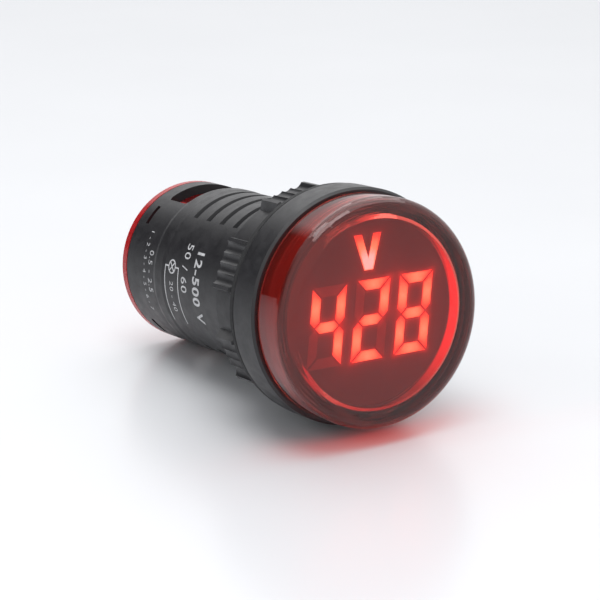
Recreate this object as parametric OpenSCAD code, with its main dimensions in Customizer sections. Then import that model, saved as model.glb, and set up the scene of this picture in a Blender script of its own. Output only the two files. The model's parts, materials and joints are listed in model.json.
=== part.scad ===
// Digital panel meter for a round 22 mm panel hole.
// The meter's axis runs along Y: the display faces -Y, the terminals face +Y, and the digits stand up along +Z.
// The origin is on the axis, on the rear face of the bezel, where the meter bears on its gasket.

/* [Bezel] */
// Outer diameter of the bezel
bezel_d = 29.5; // [28.5:0.1:33]
// Depth of the bezel in front of its rear face
bezel_depth = 4.8; // [4.4:0.1:7]
// Thickness of the bezel's floor, behind the display board
bezel_floor = 1.5; // [1.2:0.1:1.8]
// Thickness of the sealing gasket
gasket_t = 0.9; // [0.6:0.1:1.5]
// How far the gasket's edge lies inside the bezel's edge
gasket_inset = 0.1; // [0:0.05:1.5]

/* [Lens] */
// Outer diameter of the lens
lens_d = 28.4; // [27.6:0.1:28.4]
// How far the lens stands out in front of the bezel
lens_reach = 6.3; // [5.5:0.1:9]
// Thickness of the lens's front window
window_t = 2.3; // [1.6:0.1:2.6]
// Thickness of the lens's side wall
lens_wall = 2.2; // [1.6:0.1:2.3]
// Radius of the lens's front shoulder
lens_round = 2; // [0.8:0.1:2.2]
// Thickness of the skirt that plugs into the bezel
skirt_t = 1.2; // [0.9:0.1:1.3]

/* [Display] */
// Air gap between the lens's window and the display's face
face_gap = 1.9; // [1.2:0.1:2.4]
// Thickness of the display board
display_board_t = 1.2; // [0.8:0.1:1.6]
// Height of a digit
digit_h = 9.9; // [7:0.1:10.2]
// Width of a digit
digit_w = 4.8; // [3.6:0.1:5]
// Distance from one digit to the next
digit_pitch = 6.25; // [5.6:0.05:6.6]
// Width of a segment's stroke
stroke = 1.25; // [0.9:0.05:1.3]
// Lean of the digits, in degrees
digit_lean = 8; // [0:1:12]
// Height of the row's middle above the axis
digit_z = -1.05; // [-2:0.05:0]
// Height of the unit sign
sign_h = 4.4; // [3:0.1:5]
// Width of the unit sign
sign_w = 3.9; // [3:0.1:5]
// Height of the unit sign's middle above the axis
sign_z = 7.3; // [6.5:0.1:7.8]
// Width of the unit sign's arms
sign_stroke = 1.05; // [0.8:0.05:1.2]
// Depth of the resin that fills a segment's well
resin_depth = 3; // [1.5:0.1:3.2]

/* [Barrel] */
// Outer diameter of the barrel's locating band
barrel_d = 21.8; // [21:0.1:22.2]
// How far the locating band stands proud of the rest of the barrel
band_step = 0.1; // [0.1:0.05:0.2]
// Length of the locating band, in front of the wire windows
band_len = 1.8; // [1.5:0.1:2.4]
// Length of the taper at each end of the locating band
band_run = 0.6; // [0.55:0.05:0.8]
// Distance from the bezel's rear face to the barrel's rear end
barrel_len = 35.4; // [35:0.1:42]
// Thickness of the barrel's wall
barrel_wall = 1.3; // [1.1:0.1:1.6]
// Distance from one thread groove to the next
thread_pitch = 3.4; // [2.8:0.1:3.8]
// Depth of a thread groove
thread_depth = 0.55; // [0.3:0.05:0.8]
// Width of a thread groove at its mouth
groove_w = 1.1; // [0.7:0.1:1.6]
// Station of the first groove
thread_start = 2.6; // [2.2:0.1:4]
// Number of grooves in each threaded sector
groove_count = 7; // [4:1:7]
// Angle that each threaded sector covers
thread_arc = 78; // [50:1:90]

/* [Wire windows] */
// Length of a wire window along the barrel
window_len = 5; // [4.8:0.1:5.4]
// Width of a wire window across the barrel
window_w = 10.6; // [8:0.1:11]
// Distance from the barrel's rear end to the window's rear edge
window_back = 2.9; // [2.6:0.1:3.4]
// Width of a latch slot round the barrel
latch_w = 2.9; // [2:0.1:3.4]
// Height of a latch slot along the barrel
latch_h = 0.75; // [0.6:0.05:1.1]
// Distance from the barrel's rear end to the middle of the latch slots
latch_back = 2.5; // [1.8:0.1:3]

/* [Ring nut] */
// Length of the ring nut
nut_len = 7.1; // [6:0.1:9]
// Outer diameter of the ring between the grip pads
nut_d = 26; // [25:0.1:27]
// Outer diameter over the grip pads
pad_d = 28.6; // [27.6:0.1:30]
// Number of grip pads
pad_count = 7; // [5:1:8]
// Angle that a grip pad covers
pad_arc = 26; // [20:1:30]
// Length of a grip pad along the nut
pad_len = 5.3; // [4:0.1:5.8]
// Number of ribs on a grip pad
rib_count = 5; // [3:1:7]
// Depth of the grooves between the ribs
rib_depth = 0.75; // [0.4:0.05:1]
// Thickness of the nut's rear lip
lip_t = 0.8; // [0.5:0.1:1.2]

/* [Terminals] */
// Distance between the two terminal screws
screw_spacing = 10.6; // [10:0.1:11]
// Diameter of the terminal screw's thread
screw_d = 3; // [2.5:0.1:3.2]
// Lead of the terminal screw's thread
screw_lead = 0.5; // [0.4:0.05:0.6]
// Diameter of the terminal screw's head
head_d = 5.4; // [4.8:0.1:5.6]
// Height of the terminal screw's head
head_h = 2; // [1.6:0.1:2.2]
// Space for the wire under the clamp washer
wire_gap = 2; // [1.4:0.1:2.1]
// Width of the clamp washer and of the terminal plate
clamp_w = 6.2; // [5.8:0.1:6.4]
// Thickness of the clamp washer
washer_t = 0.8; // [0.6:0.1:0.9]
// Thickness of the terminal plate
plate_t = 1; // [0.8:0.1:1.2]
// Thickness of the rear base's rim
base_rim = 1.5; // [1.2:0.1:2]

/* [Circuit] */
// Thickness of the power board
power_board_t = 1.2; // [0.8:0.1:1.6]
// Length of the power board
power_board_len = 24.4; // [20:0.1:24.6]
// Width of the power board
power_board_w = 17.2; // [15:0.1:17.4]

/* [Hidden] */
$fn = 96;
fit = 0.1;              // clearance between pieces that seat in each other
play = 0.3;             // clearance between pieces that move past each other
running = 0.05;         // clearance of a turning shank in its hole
barrel_r = barrel_d / 2;
skin_r = barrel_r - band_step;
bore_r = barrel_r - barrel_wall;
lens_r = lens_d / 2;
cavity_r = lens_r - lens_wall;
skirt_r = cavity_r + skirt_t;
cup_r = skirt_r + fit;
bead = 0.25;            // height of the lens's snap bead
bead_y = -bezel_depth * 0.58;
bead_half = 0.35;
lens_front = -bezel_depth - lens_reach;
window_y = lens_front + window_t;
face_y = window_y + face_gap;
board_back = -bezel_floor;
board_front = board_back - display_board_t;
frame_r = cavity_r - fit;
helix = atan(thread_pitch / (PI * barrel_d));
window_y1 = barrel_len - window_back;
window_y0 = window_y1 - window_len;
band_y1 = window_y0 - 0.4;
band_y0 = band_y1 - band_len;
latch_y = barrel_len - latch_back;
latch_count = 4;
plug_r = bore_r - fit;
seat_wall = 1;          // front wall of the rear base, which carries the terminal plates
pad_phase = 155.3;      // angle of the first grip pad, where the nut stops against the panel
plate_y0 = window_y0 - 0.3;
plate_y1 = plate_y0 + plate_t;
plug_y0 = plate_y0 - seat_wall;
washer_y0 = plate_y1 + wire_gap;
head_y0 = washer_y0 + washer_t + running;
head_y1 = head_y0 + head_h;
pocket_y1 = head_y1 + 0.2;
screw_z = screw_spacing / 2;
plate_z0 = screw_z - clamp_w / 2;
shank_end = plug_y0 - 0.2;
base_back = barrel_len + base_rim;
power_y0 = board_back + 0.3;
power_y1 = power_y0 + power_board_len;
power_x = power_board_t / 2;
rail_t = 1;
rail_len = power_y1 - 1;
tail_w = 1.4;
tail_t = 0.8;
tail_y0 = power_y1 - 2.2;               // front end of a terminal plate's tail, soldered to the power board
stand_off = 0.05;                       // space between a round component and the board
dropper_r = 1.15;
dropper_spacing = 2.7;
dropper_y1 = tail_y0 - dropper_r - 0.55;  // the rear resistor's axis
dropper_y0 = dropper_y1 - dropper_spacing;
bridge_len = 3.8;
bridge_y0 = tail_y0 - 2.2 - bridge_len;
header_pins_n = 4;
header_pitch = 2.54;
header_h = 2.5;
header_x = power_x + 1.4;
pin_r = 0.32;

// Height of a header pin above the axis
function pin_z(i) = (i - (header_pins_n - 1) / 2) * header_pitch;

// ---- helpers: stations are distances along Y, angles run anticlockwise from +X as seen from the front ----

// A turned solid from a profile of [radius, station] points
module turned(profile) {
    rotate([-90, 0, 0]) rotate_extrude() polygon(profile);
}

// A flat shape in X and Z, carried along Y from y0 to y1
module along(y0, y1) {
    translate([0, y1, 0]) rotate([90, 0, 0]) linear_extrude(y1 - y0) children();
}

// A round rod along Y
module rod(r, y0, y1, x = 0, z = 0) {
    translate([x, y1, z]) rotate([90, 0, 0]) cylinder(r = r, h = y1 - y0);
}

// Turns a feature made at +X round the axis to an angle
module at_angle(a) {
    rotate([0, -a, 0]) children();
}

// A flat sector of a ring between two radii, centred on an angle
module sector(r0, r1, a, arc) {
    steps = 12;
    inner = [for (i = [0:steps]) r0 * [cos(a - arc / 2 + arc * i / steps), sin(a - arc / 2 + arc * i / steps)]];
    reach = r1 / cos(arc / steps / 2);
    outer = [for (i = [steps:-1:0]) reach * [cos(a - arc / 2 + arc * i / steps), sin(a - arc / 2 + arc * i / steps)]];
    polygon(concat(inner, outer));
}

// A rectangle centred on a point, with rounded corners
module rounded_box(w, h, r) {
    for (x = [-1, 1], z = [-1, 1]) translate([x * (w / 2 - r), z * (h / 2 - r)]) circle(r, $fn = 24);
    square([w, h - 2 * r], center = true);
    square([w - 2 * r, h], center = true);
}

// ---- housing: bezel and barrel in one moulding ----

// One groove of the thread, leaning by the helix angle across its sector
module thread_groove(y, side) {
    run_out = skin_r - thread_depth;
    flank = 0.25;
    at_angle(side) translate([0, y, 0]) rotate([helix, 0, 0]) rotate([-90, 0, 0]) rotate([0, 0, -thread_arc / 2])
        rotate_extrude(angle = thread_arc)
            polygon([[run_out, -groove_w / 2 + flank], [barrel_r + 0.5, -groove_w / 2 - flank],
                     [barrel_r + 0.5, groove_w / 2 + flank], [run_out, groove_w / 2 - flank]]);
}

// A single thread, so the grooves underneath lie half a pitch behind those on top
module thread_grooves() {
    for (side = [0, 1], i = [0:groove_count - 1 - side])
        thread_groove(thread_start + (i + side / 2) * thread_pitch, 90 + 180 * side);
}

// A wire window with rounded corners, cut through the barrel's wall at the top or the bottom
module wire_window(side) {
    corner = 0.7;
    translate([0, (window_y0 + window_y1) / 2, 0]) mirror([0, 0, side]) linear_extrude(barrel_r + 1)
        rounded_box(window_w, window_len, corner);
}

module latch_slots(w, h, r0, r1) {
    for (k = [0:latch_count - 1])
        at_angle(45 + 360 / latch_count * k)
            translate([r0, latch_y - h / 2, -w / 2]) cube([r1 - r0, h, w]);
}

// Rails inside the barrel that hold the two edges of the power board
module board_rails() {
    rail_x = power_x + fit;
    grip = 0.6;
    height = bore_r - power_board_w / 2 + 2 * grip;
    for (z = [-1, 1], x = [-1, 1])
        translate([x * (rail_x + rail_t / 2), rail_len / 2, z * (power_board_w / 2 + bore_r) / 2])
            cube([rail_t, rail_len, height], center = true);
}

module housing() {
    color("#2b2a2e") {
        difference() {
            turned([[bore_r, 0], [bore_r, -bezel_floor], [cup_r, -bezel_floor],
                    [cup_r, bead_y + bead_half + 0.1], [cup_r + bead, bead_y + 0.1],
                    [cup_r + bead, bead_y - 0.1], [cup_r, bead_y - bead_half - 0.1],
                    [cup_r, -bezel_depth + 0.2], [cup_r + 0.2, -bezel_depth],
                    [bezel_d / 2 - 0.3, -bezel_depth], [bezel_d / 2, -bezel_depth + 0.3],
                    [bezel_d / 2, -0.3], [bezel_d / 2 - 0.3, 0], [skin_r, 0],
                    [skin_r, band_y0 - band_run], [barrel_r, band_y0], [barrel_r, band_y1],
                    [skin_r, band_y1 + band_run], [skin_r, barrel_len - 0.2], [skin_r - 0.2, barrel_len],
                    [bore_r, barrel_len]]);
            thread_grooves();
            for (side = [0, 1]) wire_window(side);
            latch_slots(latch_w, latch_h, bore_r - 1, barrel_r + 1);
        }
        intersection() {
            board_rails();
            rod(bore_r + barrel_wall / 2, 0, rail_len);
        }
    }
}

// ---- lens ----

module lens() {
    corner_y = lens_front + lens_round;
    arc_steps = 8;
    shoulder = [for (i = [0:arc_steps])
        [lens_r - lens_round + lens_round * sin(90 * i / arc_steps), corner_y - lens_round * cos(90 * i / arc_steps)]];
    color([0.75, 0.04, 0.05, 0.55])
        turned(concat([[0, window_y], [0, lens_front]], shoulder,
                      [[lens_r, -bezel_depth - 0.25], [lens_r - 0.25, -bezel_depth],
                       [skirt_r, -bezel_depth], [skirt_r, bead_y - bead_half], [skirt_r + bead, bead_y],
                       [skirt_r, bead_y + bead_half], [skirt_r, -bezel_floor - 0.4],
                       [skirt_r - 0.3, -bezel_floor - fit], [cavity_r, -bezel_floor - fit],
                       [cavity_r, window_y + 0.4], [cavity_r - 0.4, window_y]]));
}

// ---- gasket ----

module gasket() {
    gasket_r = bezel_d / 2 - gasket_inset;
    lip = 0.15;
    color("#141416")
        turned([[barrel_r + fit, 0], [gasket_r - lip, 0], [gasket_r, lip], [gasket_r, gasket_t - lip],
                [gasket_r - lip, gasket_t], [barrel_r + fit, gasket_t]]);
}

// ---- ring nut ----

// The shape of one grip pad, seen along the axis: a raised block with tapered ends and grooves between its ribs
module pad_outline() {
    pad_r = pad_d / 2;
    root_r = nut_d / 2 - 0.5;
    groove_step = pad_arc / rib_count;
    difference() {
        polygon(concat(
            [root_r * [cos(-pad_arc / 2 - 3), sin(-pad_arc / 2 - 3)]],
            [for (i = [0:8]) pad_r * [cos(-pad_arc / 2 + pad_arc * i / 8), sin(-pad_arc / 2 + pad_arc * i / 8)]],
            [root_r * [cos(pad_arc / 2 + 3), sin(pad_arc / 2 + 3)]]));
        for (i = [1:rib_count - 1])
            rotate(-pad_arc / 2 + groove_step * i)
                translate([pad_r + 0.1, 0]) circle(r = rib_depth + 0.1, $fn = 24);
    }
}

module ring_nut() {
    nut_r = nut_d / 2;
    nut_bore = barrel_r + fit;
    y0 = gasket_t;
    y1 = gasket_t + nut_len;
    pad_y0 = y0 + (nut_len - lip_t - pad_len) / 2;
    pad_y1 = pad_y0 + pad_len;
    taper = 0.8;
    color("#2f2e32")
        difference() {
            union() {
                turned([[nut_bore + 0.3, y0], [nut_r - 0.2, y0], [nut_r, y0 + 0.2],
                        [nut_r, y1 - lip_t - 0.3], [nut_r - 0.4, y1 - lip_t], [nut_r - 0.4, y1 - 0.3],
                        [nut_r - 0.7, y1], [nut_bore + 0.6, y1], [nut_bore, y1 - 0.6], [nut_bore, y0 + 0.3]]);
                for (k = [0:pad_count - 1])
                    at_angle(pad_phase + 360 / pad_count * k)
                        intersection() {
                            along(pad_y0, pad_y1) pad_outline();
                            turned([[0, pad_y0], [nut_r, pad_y0], [pad_d / 2 + fit, pad_y0 + taper],
                                    [pad_d / 2 + fit, pad_y1 - taper], [nut_r, pad_y1], [0, pad_y1]]);
                        }
            }
            rod(nut_bore, y0 - 1, y1 + 1);
        }
}

// ---- rear base ----

// Pocket for one terminal: open to the wire window, with a bore behind it for the screwdriver
module terminal_pocket() {
    half = clamp_w / 2 + play;
    translate([-half, plate_y0, plate_z0 - play]) cube([2 * half, pocket_y1 - plate_y0, barrel_d]);
    rod(head_d / 2 + play, plate_y0, base_back + 1, 0, screw_z);
    rod(screw_d / 2 + play, plug_y0 - 1, plate_y1, 0, screw_z);
    translate([power_x, plug_y0 - 1, plate_z0 - fit]) cube([tail_t + 2 * fit, seat_wall + 2, tail_w + 2 * fit]);
}

// Hollow in one side of the plug, which keeps the moulding's walls even
module side_hollow() {
    inner_x = 4.3;
    height = 5;
    back_wall = 2.5;
    translate([inner_x, plug_y0 - 1, -height / 2]) cube([plug_r, barrel_len - back_wall - plug_y0 + 1, height]);
}

module rear_base() {
    color("#b8121a") {
        difference() {
            turned([[0, plug_y0], [plug_r - 0.3, plug_y0], [plug_r, plug_y0 + 0.3], [plug_r, barrel_len],
                    [skin_r, barrel_len], [skin_r, base_back - 0.4], [skin_r - 0.4, base_back], [0, base_back]]);
            for (side = [0, 1]) rotate([0, 180 * side, 0]) terminal_pocket();
            for (side = [0, 1]) rotate([0, 180 * side, 0]) side_hollow();
        }
        intersection() {
            latch_slots(latch_w - 2 * fit, latch_h - 2 * fit, plug_r - 0.5, skin_r);
            rod(skin_r - 0.4, plug_y0, barrel_len);
        }
    }
}

// ---- display ----

// The outline of the named segments of a digit, mitred where they meet. They run a to g, clockwise from the top
module segments(which) {
    gap = 0.18;
    half_w = digit_w / 2;
    half_h = digit_h / 2;
    half_t = stroke / 2;
    top = [[-half_w + gap, half_h], [half_w - gap, half_h],
           [half_w - stroke - gap, half_h - stroke], [-half_w + stroke + gap, half_h - stroke]];
    side = [[half_w, half_h - gap], [half_w, half_t + gap], [half_w - half_t, gap],
            [half_w - stroke, half_t + gap], [half_w - stroke, half_h - stroke - gap]];
    middle = [[-half_w + half_t + gap, 0], [-half_w + stroke + gap, half_t], [half_w - stroke - gap, half_t],
              [half_w - half_t - gap, 0], [half_w - stroke - gap, -half_t], [-half_w + stroke + gap, -half_t]];
    // Each segment's name and shape, and whether it is mirrored to the left and downwards
    places = [["a", top, 0, 0], ["b", side, 0, 0], ["c", side, 0, 1], ["d", top, 0, 1],
              ["e", side, 1, 1], ["f", side, 1, 0], ["g", middle, 0, 0]];
    shear = tan(digit_lean);
    multmatrix([[1, shear, 0, 0], [0, 1, 0, 0], [0, 0, 1, 0]])
        for (p = places)
            if (len(search(p[0], which)) > 0)
                mirror([p[2], 0, 0]) mirror([0, p[3], 0]) polygon(p[1]);
}

module digit_segments(place, which) {
    translate([place * digit_pitch, digit_z]) segments(which);
}

// The V for volts
module sign_outline() {
    half = sign_w / 2;
    foot = sign_stroke * 0.6;
    inner = sign_stroke * 1.08;
    translate([0, sign_z])
        polygon([[-half, sign_h / 2], [-half + inner, sign_h / 2], [0, -sign_h / 2 + sign_h * 0.34],
                 [half - inner, sign_h / 2], [half, sign_h / 2], [foot, -sign_h / 2], [-foot, -sign_h / 2]]);
}

module all_wells() {
    for (place = [-1:1]) digit_segments(place, "abcdefg");
    sign_outline();
}

module resin(colour) {
    color(colour) along(face_y, face_y + resin_depth) children();
}

module display_frame() {
    edge = 0.3;
    color("#3a2a2c")
        difference() {
            turned([[0, face_y], [frame_r - edge, face_y], [frame_r, face_y + edge], [frame_r, board_front],
                    [0, board_front]]);
            along(face_y - 1, board_front + 1) all_wells();
        }
}

module hundreds_lit() {
    resin("#ff5a3c") digit_segments(-1, "bcfg");
}

module hundreds_dark() {
    resin("#7d5a5a") digit_segments(-1, "ade");
}

module tens_lit() {
    resin("#ff5a3c") digit_segments(0, "abdeg");
}

module tens_dark() {
    resin("#7d5a5a") digit_segments(0, "cf");
}

module units_lit() {
    resin("#ff5a3c") digit_segments(1, "abcdefg");
}

module unit_sign() {
    resin("#ff8060") sign_outline();
}

module display_board() {
    pin_hole = 0.45;
    color("#1d5a35")
        difference() {
            rod(frame_r, board_front, board_back);
            for (i = [0:header_pins_n - 1]) rod(pin_hole, board_front - 1, board_back + 1, header_x, pin_z(i));
        }
}

// One small light-emitting chip in each well
module led_chips() {
    chip = [0.9, 0.45, 0.55];
    span_w = digit_w - stroke;
    span_h = (digit_h - stroke) / 2;
    lean = tan(digit_lean);
    seats = [[0, span_h, 0], [span_w / 2, span_h / 2, 90], [span_w / 2, -span_h / 2, 90], [0, -span_h, 0],
             [-span_w / 2, -span_h / 2, 90], [-span_w / 2, span_h / 2, 90], [0, 0, 0]];
    color("#f2e6b0") {
        for (place = [-1:1], s = seats)
            translate([place * digit_pitch + s[0] + lean * s[1], board_front - chip[1], digit_z + s[1]])
                rotate([0, s[2], 0]) translate([-chip[0] / 2, 0, -chip[2] / 2]) cube(chip);
        translate([-chip[0] / 2, board_front - chip[1], sign_z - sign_h * 0.3]) cube(chip);
    }
}

// ---- display board's rear side ----

// Driver chip with its row of bent legs on each side
module controller_chip() {
    body_l = 9.9;
    body_w = 3.9;
    stand = 0.15;
    body_t = 1.15;
    leg_count = 8;
    leg_pitch = 1.15;
    leg_w = 0.4;
    leg_reach = 1;
    color("#1a1a1c")
        translate([-power_x - 3.9, board_back, 0]) {
            translate([-body_w / 2, stand, -body_l / 2]) cube([body_w, body_t, body_l]);
            for (side = [-1, 1], i = [0:leg_count - 1])
                translate([0, 0, (i - (leg_count - 1) / 2) * leg_pitch]) {
                    translate([side * (body_w / 2 + leg_reach / 2), 0.1, 0]) cube([leg_reach, 0.2, leg_w], center = true);
                    translate([side * (body_w / 2 + 0.15), 0.4, 0]) cube([0.4, 0.8, leg_w], center = true);
                }
        }
}

module chip_resistors() {
    chip_w = 0.8;
    chip_t = 0.5;
    chip_l = 1.6;
    spacing = 2;
    row_x = header_x + 1.8;
    first_z = (header_pins_n / 2) * header_pitch - 0.18;
    color("#2a2a2c")
        for (side = [-1, 1], i = [0, 1])
            translate([row_x, board_back, side * (first_z + i * spacing) - chip_l / 2]) cube([chip_w, chip_t, chip_l]);
}

// Plastic bar of the header that joins the two boards
module pin_header() {
    depth = 2.4;
    length = header_pins_n * header_pitch;
    color("#18181a")
        difference() {
            translate([power_x, board_back, -length / 2]) cube([header_x - power_x + depth / 2, header_h, length]);
            for (i = [0:header_pins_n - 1]) {
                rod(pin_r + fit / 2, board_back - 1, board_back + header_h / 2, header_x, pin_z(i));
                translate([header_x - 5, board_back + header_h / 2, pin_z(i)]) rotate([0, 90, 0])
                    cylinder(r = pin_r + fit / 2, h = 5 + pin_r);
            }
        }
}

// Bent pins: through the display board, then into the power board
module header_pins() {
    bend_y = board_back + header_h / 2;
    color("#d8b45a")
        for (i = [0:header_pins_n - 1])
            translate([0, 0, pin_z(i)]) {
                rod(pin_r, board_front, bend_y, header_x, 0);
                translate([header_x, bend_y, 0]) sphere(r = pin_r);
                translate([-power_x - 0.4, bend_y, 0]) rotate([0, 90, 0]) cylinder(r = pin_r, h = header_x + power_x + 0.4);
            }
}

// ---- power board and what it carries ----

module power_board() {
    hole = pin_r + fit;
    color("#1d5a35")
        difference() {
            translate([-power_x, power_y0, -power_board_w / 2]) cube([power_board_t, power_board_len, power_board_w]);
            for (i = [0:header_pins_n - 1])
                translate([-power_x - 1, board_back + header_h / 2, pin_z(i)]) rotate([0, 90, 0])
                    cylinder(r = hole, h = power_board_t + 2);
        }
}

// Film capacitor, which fills the board from the header to the first resistor
module film_capacitor() {
    front_gap = 2.4;
    rear_gap = 1.05;
    y0 = board_back + header_h + front_gap;
    y1 = dropper_y0 - dropper_r - rear_gap;
    width = 9;
    depth = 5.4;
    corner = 0.8;
    color("#c8a23a")
        translate([power_x, (y0 + y1) / 2, 0]) rotate([0, 90, 0]) rotate([0, 0, 90])
            linear_extrude(depth) rounded_box(y1 - y0, width, corner);
}

// Round can that lies on the board between the driver chip and the bridge, with its leads bent down behind it
module electrolytic_capacitor() {
    can_r = 3.15;
    lead_r = 0.3;
    lead_z = 1.25;
    lead_out = 1;
    lead_in = 0.5;
    crimp = 0.25;
    crimp_back = 1.35;
    front_gap = 2.2;
    rear_gap = 1.8;
    y0 = board_back + header_h + front_gap;
    y1 = bridge_y0 - lead_out - rear_gap;
    color("#20283a") {
        translate([-power_x - can_r - stand_off, 0, 0])
            turned([[0, y0], [can_r - crimp, y0], [can_r, y0 + crimp], [can_r, y1 - crimp_back - crimp],
                    [can_r - crimp, y1 - crimp_back], [can_r, y1 - crimp_back + crimp], [can_r, y1 - crimp],
                    [can_r - crimp, y1], [0, y1]]);
        for (z = [-lead_z, lead_z])
            translate([-power_x - can_r, 0, z]) {
                rod(lead_r, y1 - lead_in, y1 + lead_out);
                translate([0, y1 + lead_out, 0]) sphere(r = lead_r);
                translate([0, y1 + lead_out, 0]) rotate([0, 90, 0]) cylinder(r = lead_r, h = can_r);
            }
    }
}

module bridge_rectifier() {
    body_t = 2.4;
    body_w = 4.7;
    stand = 0.1;
    leg_t = 0.7;
    leg_l = 1.2;
    leg_w = 0.6;
    leg_out = 0.2;
    leg_z = 1.27;
    color("#1a1a1c")
        translate([-power_x, bridge_y0, 0]) {
            translate([-body_t - stand, 0, -body_w / 2]) cube([body_t, bridge_len, body_w]);
            for (y = [-leg_out, bridge_len + leg_out], z = [-leg_z, leg_z])
                translate([-leg_t / 2, y, z]) cube([leg_t, leg_l, leg_w], center = true);
        }
}

// Two resistors that drop the mains voltage, side by side behind the film capacitor
module dropper_resistors() {
    cap_l = 1.6;
    length = 6.4;
    lead_r = 0.3;
    span = 9.6;
    stand = dropper_r + stand_off;
    waist_r = dropper_r - 0.14;
    color("#7fa4b8")
        for (y = [dropper_y0, dropper_y1])
            translate([power_x + stand, y, 0]) {
                cylinder(r = waist_r, h = length, center = true);
                for (end = [-1, 1]) {
                    translate([0, 0, end * (length - cap_l) / 2]) cylinder(r = dropper_r, h = cap_l, center = true);
                    translate([0, 0, end * span / 2]) sphere(r = lead_r);
                    translate([0, 0, end * span / 2]) rotate([0, -90, 0]) cylinder(r = lead_r, h = stand);
                }
                cylinder(r = lead_r, h = span, center = true);
            }
}

// ---- terminals ----

// Tapped plate with a tail that is soldered to the power board
module terminal_plate() {
    color("#c9b37a")
        difference() {
            union() {
                translate([-clamp_w / 2, plate_y0, plate_z0]) cube([clamp_w, plate_t, clamp_w]);
                translate([power_x, tail_y0, plate_z0]) cube([tail_t, plate_y1 - tail_y0, tail_w]);
            }
            rod(screw_d / 2 + running, plate_y0 - 1, plate_y1 + 1, 0, screw_z);
        }
}

module clamp_washer() {
    corner = 0.6;
    slack = 0.15;
    color("#c4c8cc")
        difference() {
            along(washer_y0, washer_y0 + washer_t) translate([0, screw_z]) rounded_box(clamp_w, clamp_w, corner);
            rod(screw_d / 2 + slack, washer_y0 - 1, washer_y0 + washer_t + 1, 0, screw_z);
        }
}

// Pan-head screw with a cross recess
module terminal_screw() {
    dome = 0.5;
    point = 0.4;
    recess = 1.3;
    recess_w = head_d * 0.6;
    blade = 0.8;
    turn = 20;
    color("#d2d5d8")
        translate([0, 0, screw_z])
            difference() {
                turned([[0, shank_end], [screw_d / 2 - point, shank_end], [screw_d / 2, shank_end + point],
                        [screw_d / 2, head_y0], [head_d / 2, head_y0], [head_d / 2, head_y1 - dome],
                        [head_d / 2 - dome, head_y1], [0, head_y1]]);
                for (a = [0, 90])
                    rotate([0, a + turn, 0]) translate([-recess_w / 2, head_y1 - recess, -blade / 2])
                        cube([recess_w, recess + 1, blade]);
            }
}

module terminal_plate_1() {
    terminal_plate();
}

module terminal_plate_2() {
    rotate([0, 180, 0]) terminal_plate();
}

module clamp_washer_1() {
    clamp_washer();
}

module clamp_washer_2() {
    rotate([0, 180, 0]) clamp_washer();
}

module terminal_screw_1() {
    terminal_screw();
}

module terminal_screw_2() {
    rotate([0, 180, 0]) terminal_screw();
}

housing();
lens();
gasket();
ring_nut();
rear_base();
display_frame();
hundreds_lit();
hundreds_dark();
tens_lit();
tens_dark();
units_lit();
unit_sign();
display_board();
led_chips();
controller_chip();
chip_resistors();
pin_header();
header_pins();
power_board();
film_capacitor();
electrolytic_capacitor();
bridge_rectifier();
dropper_resistors();
terminal_plate_1();
terminal_plate_2();
clamp_washer_1();
clamp_washer_2();
terminal_screw_1();
terminal_screw_2();
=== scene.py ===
"""Digital panel meter: the looks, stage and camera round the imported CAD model."""

import json
import math

import bmesh
import bpy
import numpy as np
from mathutils import Matrix, Vector


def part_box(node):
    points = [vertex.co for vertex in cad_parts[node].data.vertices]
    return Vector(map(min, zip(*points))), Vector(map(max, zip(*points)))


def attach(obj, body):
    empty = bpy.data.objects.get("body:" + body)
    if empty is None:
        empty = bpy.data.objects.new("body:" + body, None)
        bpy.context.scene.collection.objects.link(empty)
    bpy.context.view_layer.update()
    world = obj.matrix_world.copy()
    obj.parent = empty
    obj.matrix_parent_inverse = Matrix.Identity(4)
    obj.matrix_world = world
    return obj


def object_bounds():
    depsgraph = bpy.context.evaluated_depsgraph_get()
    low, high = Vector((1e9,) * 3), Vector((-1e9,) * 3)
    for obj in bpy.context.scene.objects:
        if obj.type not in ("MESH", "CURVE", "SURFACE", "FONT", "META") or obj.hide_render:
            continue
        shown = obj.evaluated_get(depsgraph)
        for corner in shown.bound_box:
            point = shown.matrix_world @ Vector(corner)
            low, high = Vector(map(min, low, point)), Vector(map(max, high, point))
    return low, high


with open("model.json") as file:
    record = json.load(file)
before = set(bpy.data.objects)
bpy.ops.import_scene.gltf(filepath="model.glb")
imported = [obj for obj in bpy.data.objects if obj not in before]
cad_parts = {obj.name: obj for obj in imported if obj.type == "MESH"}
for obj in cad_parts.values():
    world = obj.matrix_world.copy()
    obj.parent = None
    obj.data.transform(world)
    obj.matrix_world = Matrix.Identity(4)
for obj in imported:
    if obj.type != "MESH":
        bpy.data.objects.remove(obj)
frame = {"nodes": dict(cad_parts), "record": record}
cad_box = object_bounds()

MM = 0.001
BODY = "meter_body"

# ---- camera, seen from the meter's middle ----
CAMERA_AZIMUTH = -31.08
CAMERA_ELEVATION = 12.04
CAMERA_ROLL = -2.34
CAMERA_DISTANCE = 292.6 * MM
CAMERA_LENS = 136.6
AIM_OFFSET = Vector((1.73, -1.54, -1.96)) * MM

# ---- floor: the meter lies on a grip pad of its nut and on its rear rim, so its axis slopes ----
FLOOR_SLOPE = math.radians(6.55)
FLOOR_ROLL = math.radians(1.3)
FLOOR_RADIUS = 1.6

# ---- light levels, at which a white surface on the floor comes out just under white ----
WORLD_LEVEL = 0.42
SUN_LEVEL = 1.55
SUN_SPREAD = math.radians(75)
SUN_SIDE = Vector((0.25, 0.3, 1.0))
SOFTBOXES = {
    "softbox_top": {"azimuth": -40, "elevation": 72, "distance": 0.42,
                    "width": 0.30, "height": 0.22, "power": 0.75},
    "softbox_left": {"azimuth": -96, "elevation": 26, "distance": 0.40,
                     "width": 0.05, "height": 0.30, "power": 0.22},
}
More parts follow.
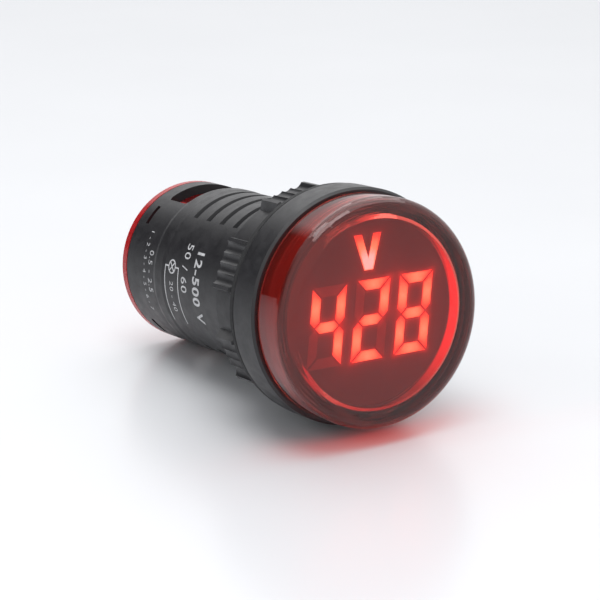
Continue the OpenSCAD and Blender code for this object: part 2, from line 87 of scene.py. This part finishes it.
# A black card stands behind the meter on its left, and shows in gloss and glass alone.
# Its edge fades between two nearnesses to its middle.
CARD_SIDE = (-0.55, 0.80, 0.24)
CARD_LEVEL = 0.02
CARD_EDGE = (0.80, 0.875)

# ---- printing on the barrel: angles run from +X over the top, as seen from the front ----
PRINT_START = 150.0
PRINT_LIFT = 0.012 * MM
FONT_SIZE_PER_CAPITAL = 1.37
LETTER_SPACING = 1.12
LONGEST_LETTER_EDGE = 0.8 * MM
LINE_WIDTH = 0.2 * MM

# Light that the lens lets through, once through a wall
LENS_TINT = (0.84, 0.10, 0.075)

# Noise mostly lies between these
NOISE_SPAN = (0.3, 0.7)


def midpoint(low, high):
    return (low + high) / 2


lens_low, lens_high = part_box("lens")
_, rear_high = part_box("rear_base")
display_low, display_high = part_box("display_frame")
BARREL_R = rear_high.x


# ---------------------------------------------------------------- meshes


def add_piece(name, mesh, material, body=BODY):
    """A new piece of the meter from a mesh that is already in its place."""
    piece = bpy.data.objects.new(name, mesh)
    bpy.context.scene.collection.objects.link(piece)
    mesh.materials.clear()
    mesh.materials.append(material)
    for polygon in mesh.polygons:
        polygon.use_smooth = True
    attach(piece, body)
    return piece


def mesh_from(name, points, faces, values=None, value_name=None):
    """A mesh from points and faces, with one number at each point where values are given."""
    mesh = bpy.data.meshes.new(name)
    mesh.from_pydata([tuple(p) for p in points], [], [tuple(f) for f in faces])
    if values is not None:
        attribute = mesh.attributes.new(value_name, "FLOAT", "POINT")
        attribute.data.foreach_set("value", np.asarray(values, np.float32))
    mesh.update()
    return mesh


def front_outlines(node):
    """The front face of each separate solid of a node: a loop of (x, z) points for each.

    Corners are matched to the micron, and an edge that two faces share isn't on the rim.
    """
    mesh = frame["nodes"][node].data
    micron = 1e-6
    front = min(v.co.y for v in mesh.vertices)
    edges = {}
    for polygon in mesh.polygons:
        corners = [mesh.vertices[i].co for i in polygon.vertices]
        if all(abs(c.y - front) < micron for c in corners):
            keys = [(round(c.x / micron), round(c.z / micron)) for c in corners]
            for a, b in zip(keys, keys[1:] + keys[:1]):
                edges[(a, b)] = True
    rim = {a: b for a, b in edges if (b, a) not in edges}
    loops = []
    while rim:
        start, point = next(iter(rim.items()))
        loop = [start]
        del rim[start]
        while point != start:
            loop.append(point)
            point = rim.pop(point)
        loops.append([Vector((x * micron, z * micron)) for x, z in loop])
    return loops


def area_centre(loop):
    """The centre of the area inside a loop."""
    area, centre = 0.0, Vector((0.0, 0.0))
    for a, b in zip(loop, loop[1:] + loop[:1]):
        cross = a.x * b.y - b.x * a.y
        area += cross
        centre += (a + b) * cross
    return centre / (3 * area)


def wrap_on_barrel(mesh, start_deg, station, radius):
    """Bends a flat mesh round the barrel: x runs round from start_deg, y points to the bezel."""
    for vertex in mesh.vertices:
        angle = math.radians(start_deg) + vertex.co.x / radius
        out = radius + vertex.co.z
        vertex.co = (out * math.cos(angle), station - vertex.co.y, out * math.sin(angle))
    mesh.update()


# ---------------------------------------------------------------- materials


class Nodes:
    """A node tree, with the few set-ups that this scene repeats."""

    def __init__(self, tree):
        self.tree = tree

    def feed(self, socket, value):
        """Gives an input a number, a colour or the output of another node."""
        if isinstance(value, bpy.types.NodeSocket):
            self.tree.links.new(value, socket)
        else:
            socket.default_value = value

    def node(self, kind, **values):
        """A new shader node. Its inputs are named with _ for a space."""
        made = self.tree.nodes.new("ShaderNode" + kind)
        for name, value in values.items():
            self.feed(made.inputs[name.replace("_", " ")], value)
        return made

    def combine(self, kind, operation, *values):
        """A Math or VectorMath node with its inputs fed in order."""
        made = self.node(kind)
        made.operation = operation
        for socket, value in zip(made.inputs, values):
            self.feed(socket, value)
        return made

    def math(self, operation, *values):
        return self.combine("Math", operation, *values).outputs[0]

    def between(self, value, low, high, start=0.0, end=1.0):
        """Start where the value is low, end where it is high, and a straight run between."""
        made = self.node("MapRange", Value=value, From_Min=low, From_Max=high,
                         To_Min=start, To_Max=end)
        return made.outputs["Result"]

    def choice(self, factor, first, second):
        """The first shader at factor 0, the second at factor 1."""
        made = self.node("MixShader", Fac=factor)
        self.feed(made.inputs[1], first.outputs[0])
        self.feed(made.inputs[2], second.outputs[0])
        return made.outputs[0]


class Shader(Nodes):
    """A node material round a Principled BSDF."""

    def __init__(self, name):
        self.material = bpy.data.materials.new(name)
        self.material.use_nodes = True
        super().__init__(self.material.node_tree)
        self.main = self.tree.nodes["Principled BSDF"]
        self.output = self.tree.nodes["Material Output"]
        self.place = self.node("TexCoord").outputs["Object"]

    def set(self, **values):
        for name, value in values.items():
            self.feed(self.main.inputs[name.replace("_", " ")], value)

    def finish_with(self, surface):
        """Sends a shader's output to the surface in place of the Principled BSDF."""
        self.feed(self.output.inputs["Surface"], surface)

    def noise(self, size, detail, roughness=0.55):
        """Noise whose lumps are about size metres across."""
        made = self.node("TexNoise", Scale=1 / size, Detail=detail, Roughness=roughness)
        self.feed(made.inputs["Vector"], self.place)
        return made.outputs["Fac"]

    def ramp(self, source, stops):
        """Colours (or greys) along a value from 0 to 1."""
        made = self.node("ValToRGB")
        elements = made.color_ramp.elements
        while len(elements) < len(stops):
            elements.new(0.5)
        for element, (position, colour) in zip(elements, stops):
            element.position = position
            grey = not hasattr(colour, "__len__")
            element.color = (colour, colour, colour, 1) if grey else (*colour, 1)
        self.feed(made.inputs["Fac"], source)
        return made.outputs["Color"]

    def mottle(self, size, detail, dark, pale, span=NOISE_SPAN):
        """Base colour that drifts with noise."""
        self.set(Base_Color=self.ramp(self.noise(size, detail), list(zip(span, (dark, pale)))))

    def gloss(self, size, detail, low, high):
        """Roughness that drifts with noise."""
        self.set(Roughness=self.ramp(self.noise(size, detail), list(zip(NOISE_SPAN, (low, high)))))

    def grain(self, size, detail, height, strength, noise_roughness=0.55):
        """Relief that follows noise."""
        made = self.node("Bump", Strength=strength, Distance=height)
        self.feed(made.inputs["Height"], self.noise(size, detail, noise_roughness))
        self.set(Normal=made.outputs["Normal"])


def shade(colour, factor):
    return tuple(min(1.0, c * factor) for c in colour)


def surface(name, colour, gloss, grain):
    """A material from what mottle, gloss and grain take, in that order."""
    s = Shader(name)
    s.mottle(*colour)
    s.gloss(*gloss)
    s.grain(*grain)
    return s.material


def moulded_plastic(name, colour, grain, rough, grain_height=0.012 * MM, cloud=0.16):
    """Spark-eroded moulding: a fine even grain, with faint clouds in its colour and gloss."""
    s = Shader(name)
    s.mottle(6 * MM, 4, shade(colour, 1 - cloud), shade(colour, 1 + cloud))
    s.gloss(1.4 * MM, 5, rough - 0.07, rough + 0.08)
    s.grain(grain, 4, grain_height, 0.8, noise_roughness=0.7)
    s.set(IOR=1.5)
    return s.material


def metal(name, colour, rough, streak):
    """Turned or rolled metal: fine streaks in its gloss and a few dull patches."""
    s = Shader(name)
    s.mottle(1.6 * MM, 5, shade(colour, 0.82), shade(colour, 1.08), span=(0.3, 0.72))
    s.gloss(streak, 6, rough - 0.1, rough + 0.12)
    s.grain(streak * 0.6, 4, 0.004 * MM, 0.6)
    s.set(Metallic=1.0)
    return s.material


def resin(name, colour):
    return surface(name, (0.7 * MM, 4, shade(colour, 0.85), shade(colour, 1.15)),
                   (0.4 * MM, 4, 0.35, 0.5), (0.3 * MM, 3, 0.01 * MM, 0.5))


def rear_red():
    """The rear base's red plastic, which light enters and leaves."""
    red = (0.42, 0.012, 0.015)
    s = Shader("base_red")
    s.mottle(4 * MM, 4, shade(red, 0.86), shade(red, 1.1))
    s.gloss(0.9 * MM, 5, 0.2, 0.34)
    s.grain(0.2 * MM, 3, 0.006 * MM, 0.6)
    s.set(Subsurface_Weight=0.35, Subsurface_Radius=(1.0, 0.12, 0.1),
          Subsurface_Scale=0.9 * MM, IOR=1.5)
    return s.material


def clear_red():
    """The lens. Lamps shine through it with its tint, so that what is behind it is lit."""
    s = Shader("lens_red")
    s.set(Base_Color=(*LENS_TINT, 1), IOR=1.49)
    flat = (1 / lens_high.x, 0, 1 / lens_high.x)
    across = s.combine("VectorMath", "MULTIPLY", s.place, flat).outputs[0]
    radius = s.combine("VectorMath", "LENGTH", across).outputs["Value"]
    s.set(Transmission_Weight=s.ramp(radius, [(0.83, 0.975), (0.95, 0.94)]))
    s.gloss(2.2 * MM, 6, 0.0, 0.035)
    s.grain(5 * MM, 2, 0.02 * MM, 0.12)
    # Painted glow: emission on a ring of the lens's inner wall, on its front faces only, stands in
    # for the display's light caught there
    place = s.node("SeparateXYZ", Vector=s.place)
    painted_glow_ring = s.ramp(radius, [(0.835, 0.0), (0.843, 1.0), (0.85, 1.0), (0.858, 0.0)])
    beside = s.between(place.outputs["Z"], -10.5 * MM, 8.5 * MM)
    spread = s.ramp(beside, [(0.0, 0.0), (0.3, 0.8), (0.6, 1.0), (1.0, 0.0)])
    depth = s.between(place.outputs["Y"], lens_low.y + 2.4 * MM, lens_low.y + 2.7 * MM)
    outward = s.math("SUBTRACT", 1.0, s.node("NewGeometry").outputs["Backfacing"])
    glow = painted_glow_ring
    for factor in (spread, depth, outward):
        glow = s.math("MULTIPLY", glow, factor)
    s.set(Emission_Color=(0.9, 0.07, 0.16, 1), Emission_Strength=glow)
    path = s.node("LightPath")
    lamp_ray = s.math("MAXIMUM", path.outputs["Is Shadow Ray"], path.outputs["Is Diffuse Ray"])
    passing = s.node("BsdfTransparent", Color=(*[math.sqrt(c) for c in LENS_TINT], 1))
    s.finish_with(s.choice(lamp_ray, s.main, passing))
    return s.material


def lit(name):
    """Lit resin: redder at its edges, near white over its chip, by the warmth at each point."""
    s = Shader(name)
    warmth = s.node("Attribute")
    warmth.attribute_name = "warmth"
    flecked = s.math("MULTIPLY_ADD", s.noise(0.5 * MM, 4), 0.14, warmth.outputs["Fac"])
    glow = s.ramp(flecked, [(0.08, (0.16, 0.042, 0.036)), (0.3, (0.185, 0.112, 0.078)),
                            (0.5, (0.20, 0.295, 0.182)), (0.66, (0.205, 0.433, 0.286)),
                            (0.9, (0.155, 0.80, 0.98))])
    s.set(Emission_Color=glow, Emission_Strength=6.0, Base_Color=(0.8, 0.25, 0.2, 1), Roughness=0.4)
    return s.material


def halo_film():
    """Clear film over the display, with a painted red glow round each lit segment in place of the
    light that scatters there.
    """
    s = Shader("painted_halo_film")
    spread = s.node("Attribute")
    spread.attribute_name = "spread"
    glow = s.ramp(spread.outputs["Fac"], [(0.0, (0, 0, 0)), (0.4, (0.12, 0.004, 0.004)),
                                          (1.0, (0.6, 0.03, 0.02))])
    both = s.node("AddShader")
    s.feed(both.inputs[0], s.node("Emission", Color=glow).outputs[0])
    s.feed(both.inputs[1], s.node("BsdfTransparent").outputs[0])
    s.finish_with(both.outputs[0])
    return s.material


MATERIALS = {
    "black_plastic": moulded_plastic("black_plastic", (0.013, 0.0125, 0.0145), 0.16 * MM, 0.42),
    "nut_plastic": moulded_plastic("nut_plastic", (0.014, 0.0135, 0.0155), 0.2 * MM, 0.45,
                                   0.016 * MM),
    "lens_red": clear_red(),
    "gasket_rubber": surface(
        "gasket_rubber", (0.8 * MM, 5, (0.004, 0.004, 0.005), (0.009, 0.009, 0.01)),
        (0.5 * MM, 4, 0.62, 0.8), (0.12 * MM, 3, 0.01 * MM, 0.7)),
    "base_red": rear_red(),
    "display_grey": moulded_plastic("display_grey", (0.10, 0.10, 0.10), 0.25 * MM, 0.5,
                                    0.01 * MM, 0.07),
    "segment_lit": lit("segment_lit"),
    "segment_dark": resin("segment_dark", (0.27, 0.20, 0.20)),
    "board_green": surface(
        "board_green", (0.5 * MM, 5, (0.008, 0.09, 0.035), (0.013, 0.13, 0.05), (0.35, 0.65)),
        (1.2 * MM, 4, 0.25, 0.42), (0.35 * MM, 2, 0.01 * MM, 0.7)),
    "led_chip": resin("led_chip", (0.72, 0.6, 0.3)),
    "chip_black": moulded_plastic("chip_black", (0.014, 0.014, 0.015), 0.1 * MM, 0.5),
    "pin_brass": metal("pin_brass", (0.82, 0.6, 0.24), 0.28, 0.25 * MM),
    "film_yellow": moulded_plastic("film_yellow", (0.62, 0.38, 0.05), 0.3 * MM, 0.35),
    "sleeve_blue": moulded_plastic("sleeve_blue", (0.016, 0.03, 0.085), 0.5 * MM, 0.3),
    "resistor_blue": moulded_plastic("resistor_blue", (0.2, 0.42, 0.52), 0.4 * MM, 0.38),
    "plate_brass": metal("plate_brass", (0.74, 0.58, 0.3), 0.3, 0.35 * MM),
    "steel_zinc": metal("steel_zinc", (0.74, 0.75, 0.77), 0.26, 0.3 * MM),
    "print_white": surface(
        "print_white", (0.35 * MM, 5, (0.42, 0.42, 0.43), (0.62, 0.62, 0.63), (0.3, 0.65)),
        (0.3 * MM, 4, 0.45, 0.6), (0.15 * MM, 3, 0.005 * MM, 0.6)),
}


def dress_cad_nodes():
    """Each CAD node gets the finish of its slot in the record."""
    for part in frame["record"]["subparts"]:
        slots = frame["nodes"][part["node"]].material_slots
        for slot in slots:
            slot.material = MATERIALS[part["material_slot"]]


# ---------------------------------------------------------------- glowing digits

GLOW_LIFT = 0.03 * MM
LIT_NODES = ("hundreds_lit", "tens_lit", "units_lit")
SIGN_NODE = "unit_sign"
# How far the warmth of a chip reaches, and the most it comes to
DIGIT_REACH, DIGIT_PEAK = 2.7 * MM, 0.62
SIGN_REACH, SIGN_PEAK = 4.4 * MM, 1.0
# A cap's rings, as shares of the way from its focus to its outline
CAP_RINGS = (1.0, 0.93, 0.84, 0.72, 0.58, 0.42, 0.26, 0.1)
# The two terms of the painted halo on the film: strength, and the distance over which it fades
HALO = ((0.5, 0.32 * MM), (0.16, 1.5 * MM))


def glow_cap(loop, focus, reach, peak, station):
    """Points, faces and warmth of a cap over one outline, warmest at the focus."""
    longest = 0.35 * MM
    edge_share = 0.28
    fine = []
    for a, b in zip(loop, loop[1:] + loop[:1]):
        steps = max(2, round((b - a).length / longest))
        fine += [a.lerp(b, i / steps) for i in range(steps)]
    points, warmth, faces = [], [], []
    for share in CAP_RINGS:
        for p in fine:
            q = focus.lerp(p, share)
            points.append((q.x, station, q.y))
            inside = min(1.0, (1 - share) / edge_share)
            near = max(0.0, 1 - (q - focus).length / reach)
            warmth.append(peak * (0.7 * near + 0.3 * inside * near ** 0.5))
    points.append((focus.x, station, focus.y))
    warmth.append(peak)
    n = len(fine)
    for ring in range(len(CAP_RINGS) - 1):
        for i in range(n):
            j = (i + 1) % n
            faces.append((ring * n + i, ring * n + j, (ring + 1) * n + j, (ring + 1) * n + i))
    last = (len(CAP_RINGS) - 1) * n
    faces += [(last + i, last + (i + 1) % n, len(points) - 1) for i in range(n)]
    return points, faces, warmth


def add_glow_caps(node, piece_name, focus_of, reach, peak):
    """One piece with a glowing cap over each segment of a node."""
    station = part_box(node)[0].y - GLOW_LIFT
    points, faces, warmth = [], [], []
    for loop in front_outlines(node):
        cap_points, cap_faces, cap_warmth = glow_cap(loop, focus_of(loop), reach, peak, station)
        faces += [tuple(i + len(points) for i in face) for face in cap_faces]
        points += cap_points
        warmth += cap_warmth
    mesh = mesh_from(piece_name, points, faces, warmth, "warmth")
    add_piece(piece_name, mesh, MATERIALS["segment_lit"])


def sign_focus(loop):
    """The chip under the unit sign sits in its foot."""
    share_up = 0.17
    low = min(p.y for p in loop)
    high = max(p.y for p in loop)
    return Vector((0.0, low + share_up * (high - low)))


def distance_to(loop, x, z):
    """Distance from points to an outline, as arrays, and a metre where nothing is nearer."""
    best = np.full(x.shape, 1.0)
    for a, b in zip(loop, loop[1:] + loop[:1]):
        along = b - a
        t = ((x - a.x) * along.x + (z - a.y) * along.y) / along.length_squared
        t = np.clip(t, 0, 1)
        best = np.minimum(best, np.hypot(x - a.x - t * along.x, z - a.y - t * along.y))
    return best


def add_painted_halo_film():
    """A disc in front of the display, with a painted glow that fades round each lit segment."""
    radius = display_high.x - 0.35 * MM
    rings, spokes = 56, 150
    r = np.linspace(0, radius, rings + 1)[1:]
    angle = np.linspace(0, 2 * math.pi, spokes, endpoint=False)
    x = np.concatenate([[0], np.outer(r, np.cos(angle)).ravel()])
    z = np.concatenate([[0], np.outer(r, np.sin(angle)).ravel()])
    # Painted halo: emission strength that fades with distance from each lit outline
    glow = np.zeros_like(x)
    for node in (*LIT_NODES, SIGN_NODE):
        for loop in front_outlines(node):
            away = distance_to(loop, x, z)
            glow += sum(strength * np.exp(-away / fade) for strength, fade in HALO)
    station = display_low.y - 2.2 * GLOW_LIFT
    points = np.stack([x, np.full_like(x, station), z], 1)
    faces = [(0, 1 + (i + 1) % spokes, 1 + i) for i in range(spokes)]
    for ring in range(rings - 1):
        for i in range(spokes):
            a = 1 + ring * spokes + i
            b = 1 + ring * spokes + (i + 1) % spokes
            faces.append((a, b, b + spokes, a + spokes))
    mesh = mesh_from("painted_halo_film", points, faces, np.clip(glow, 0, 1), "spread")
    add_piece("painted_halo_film", mesh, halo_film())


# ---------------------------------------------------------------- printing


def text_mesh(words, height, bold):
    """Flat letters whose capitals are height tall, left edge and baseline at the origin."""
    curve = bpy.data.curves.new("letters", "FONT")
    curve.body = words
    curve.size = height * FONT_SIZE_PER_CAPITAL
    curve.space_character = LETTER_SPACING
    curve.offset = bold
    curve.resolution_u = 4
    letters = bpy.data.objects.new("letters", curve)
    bpy.context.scene.collection.objects.link(letters)
    bpy.context.view_layer.update()
    shown = letters.evaluated_get(bpy.context.evaluated_depsgraph_get())
    mesh = bpy.data.meshes.new_from_object(shown)
    bpy.data.objects.remove(letters)
    return mesh


def strip_mesh(name, path):
    """A flat line along a path of points, with square ends."""
    longest = 0.5 * MM
    points, faces = [], []
    for a, b in zip(path, path[1:]):
        side = Vector((a.y - b.y, b.x - a.x)).normalized() * LINE_WIDTH / 2
        steps = max(1, round((b - a).length / longest))
        ahead = (b - a).normalized() * LINE_WIDTH / 2
        start, end = a - ahead, b + ahead
        for i in range(steps):
            p, q = start.lerp(end, i / steps), start.lerp(end, (i + 1) / steps)
            first = len(points)
            points += [(*(p - side), 0), (*(q - side), 0), (*(q + side), 0), (*(p + side), 0)]
            faces.append((first, first + 1, first + 2, first + 3))
    return mesh_from(name, points, faces)


def ring_path(centre, radius):
    """Points all the way round a circle, the first again at the end."""
    steps = 28
    return [centre + radius * Vector((math.cos(a), math.sin(a)))
            for a in (2 * math.pi * i / steps for i in range(steps + 1))]


def print_on_barrel(name, mesh, station, start_deg=PRINT_START):
    wrap_on_barrel(mesh, start_deg, station, BARREL_R + PRINT_LIFT)
    add_piece(name, mesh, MATERIALS["print_white"])


def refined(mesh, longest):
    """Cuts long edges, so that the mesh bends smoothly."""
    bm = bmesh.new()
    bm.from_mesh(mesh)
    bmesh.ops.triangulate(bm, faces=bm.faces)
    for _ in range(3):
        long_edges = [e for e in bm.edges if e.calc_length() > longest]
        if not long_edges:
            break
        bmesh.ops.subdivide_edges(bm, edges=long_edges, cuts=1)
        bmesh.ops.triangulate(bm, faces=bm.faces)
    bm.to_mesh(mesh)
    bm.free()
    return mesh


def add_words():
    """Rating figures in pale ink on the barrel's bare side."""
    # Each line's capital height, how much its strokes are thickened, its station along the
    # barrel, and how far round from PRINT_START it begins
    lines = [
        ("print_range", "12-500 V", 1.75 * MM, 0.06 * MM, 17.1 * MM, 0.0),
        ("print_cycles", "50 / 60", 1.5 * MM, 0.01 * MM, 20.1 * MM, -2.0),
        ("print_small_1", "20 - 40", 0.95 * MM, 0.0, 23.2 * MM, 27.0),
        ("print_small_2", "0.5 - 2.5", 1.1 * MM, 0.0, 29.2 * MM, 10.0),
        ("print_small_3", "1 - 2 - 3 - 4 - 5 - 6 - 7", 0.8 * MM, 0.0, 30.6 * MM, -4.0),
    ]
    for name, words, height, bold, station, shift in lines:
        mesh = refined(text_mesh(words, height, bold), LONGEST_LETTER_EDGE)
        print_on_barrel(name, mesh, station, PRINT_START + shift)


def add_wiring_symbol():
    """A lamp between two wires, its lines laid flat before they are bent round the barrel."""
    station = 24.5 * MM
    start, end = 3.2 * MM, 10.8 * MM
    far = 3.5 * MM
    lamp = Vector((start, far / 2))
    lamp_r = 0.85 * MM
    arm = lamp_r * math.sqrt(0.5)
    paths = {
        "print_wire_1": [Vector((end, 0)), Vector((start, 0)), Vector((start, lamp.y - lamp_r))],
        "print_wire_2": [Vector((end, far)), Vector((start, far)),
                         Vector((start, lamp.y + lamp_r))],
        "print_lamp": ring_path(lamp, lamp_r),
        "print_lamp_cross_1": [lamp + Vector((-arm, -arm)), lamp + Vector((arm, arm))],
        "print_lamp_cross_2": [lamp + Vector((-arm, arm)), lamp + Vector((arm, -arm))],
    }
    for name, path in paths.items():
        print_on_barrel(name, strip_mesh(name, path), station)


# ---------------------------------------------------------------- stage


def add_floor():
    """A pale disc under the lowest points of the meter."""
    normal = Vector((-math.sin(FLOOR_ROLL), -math.sin(FLOOR_SLOPE), math.cos(FLOOR_SLOPE)))
    normal.normalize()
    lowest = min(normal.dot(v.co) for node in frame["nodes"].values() for v in node.data.vertices)
    bm = bmesh.new()
    bmesh.ops.create_circle(bm, cap_ends=True, radius=FLOOR_RADIUS, segments=96)
    mesh = bpy.data.meshes.new("floor")
    bm.to_mesh(mesh)
    bm.free()
    floor = bpy.data.objects.new("floor", mesh)
    bpy.context.scene.collection.objects.link(floor)
    tilt = normal.to_track_quat("Z", "Y").to_matrix().to_4x4()
    floor.matrix_world = Matrix.Translation(normal * lowest) @ tilt
    patch = 60 * MM
    s = Shader("floor")
    s.mottle(patch, 2, (0.765, 0.77, 0.79), (0.785, 0.79, 0.81))
    s.gloss(patch, 2, 0.24, 0.26)
    s.set(IOR=1.4)
    mesh.materials.append(s.material)


def add_world():
    """A white studio, with a black card in it that only gloss and glass show."""
    world = bpy.data.worlds.new("studio")
    world.use_nodes = True
    bpy.context.scene.world = world
    s = Nodes(world.node_tree)
    path = s.node("LightPath").outputs
    way = s.node("TexCoord").outputs["Generated"]
    nearness = s.combine("VectorMath", "DOT_PRODUCT", way, CARD_SIDE).outputs["Value"]
    room = s.between(nearness, *CARD_EDGE, 1.0, CARD_LEVEL)
    seen = s.node("Background", Color=(0.97, 0.975, 0.985, 1),
                  Strength=s.math("MAXIMUM", room, path["Is Camera Ray"]))
    lamp = s.node("Background", Color=(0.93, 0.96, 1.0, 1), Strength=WORLD_LEVEL)
    sharp = s.math("MAXIMUM", path["Is Camera Ray"], path["Is Transmission Ray"])
    sharp = s.math("MAXIMUM", sharp, path["Is Glossy Ray"])
    s.feed(s.tree.nodes["World Output"].inputs["Surface"], s.choice(sharp, lamp, seen))


def bearing(azimuth, elevation):
    """The way from the meter to a lamp or viewer, from angles in degrees."""
    a, e = math.radians(azimuth), math.radians(elevation)
    return Vector((math.sin(a) * math.cos(e), -math.cos(a) * math.cos(e), math.sin(e)))


def add_lamp(name, light, away):
    """An object for a light that shines from the direction away."""
    lamp = bpy.data.objects.new(name, light)
    bpy.context.scene.collection.objects.link(lamp)
    lamp.rotation_mode = "QUATERNION"
    lamp.rotation_quaternion = away.to_track_quat("Z", "Y")
    return lamp


def add_softbox(name, azimuth, elevation, distance, width, height, power):
    """A rectangular lamp that faces the meter's middle."""
    light = bpy.data.lights.new(name, "AREA")
    light.shape = "RECTANGLE"
    light.size = width
    light.size_y = height
    light.energy = power
    away = bearing(azimuth, elevation)
    add_lamp(name, light, away).location = midpoint(*cad_box) + away * distance


def add_sun():
    light = bpy.data.lights.new("overhead", "SUN")
    light.energy = SUN_LEVEL
    light.angle = SUN_SPREAD
    add_lamp("overhead", light, SUN_SIDE)


def add_camera():
    back = bearing(CAMERA_AZIMUTH, CAMERA_ELEVATION)
    level = bearing(CAMERA_AZIMUTH + 90, 0)
    right = Matrix.Rotation(math.radians(CAMERA_ROLL), 3, back) @ level
    up = back.cross(right)
    data = bpy.data.cameras.new("camera")
    data.lens = CAMERA_LENS
    data.sensor_width = 36
    camera = bpy.data.objects.new("camera", data)
    bpy.context.scene.collection.objects.link(camera)
    turn = Matrix((right, up, back)).transposed().to_4x4()
    middle = midpoint(*cad_box) + AIM_OFFSET
    camera.matrix_world = Matrix.Translation(middle + back * CAMERA_DISTANCE) @ turn
    bpy.context.scene.camera = camera


dress_cad_nodes()
for lit_node in LIT_NODES:
    add_glow_caps(lit_node, lit_node + "_glow", area_centre, DIGIT_REACH, DIGIT_PEAK)
add_glow_caps(SIGN_NODE, "unit_sign_glow", sign_focus, SIGN_REACH, SIGN_PEAK)
add_painted_halo_film()
add_words()
add_wiring_symbol()
add_floor()
add_world()
add_sun()
for softbox, settings in SOFTBOXES.items():
    add_softbox(softbox, **settings)
add_camera()
bpy.context.scene.view_settings.view_transform = "Standard"
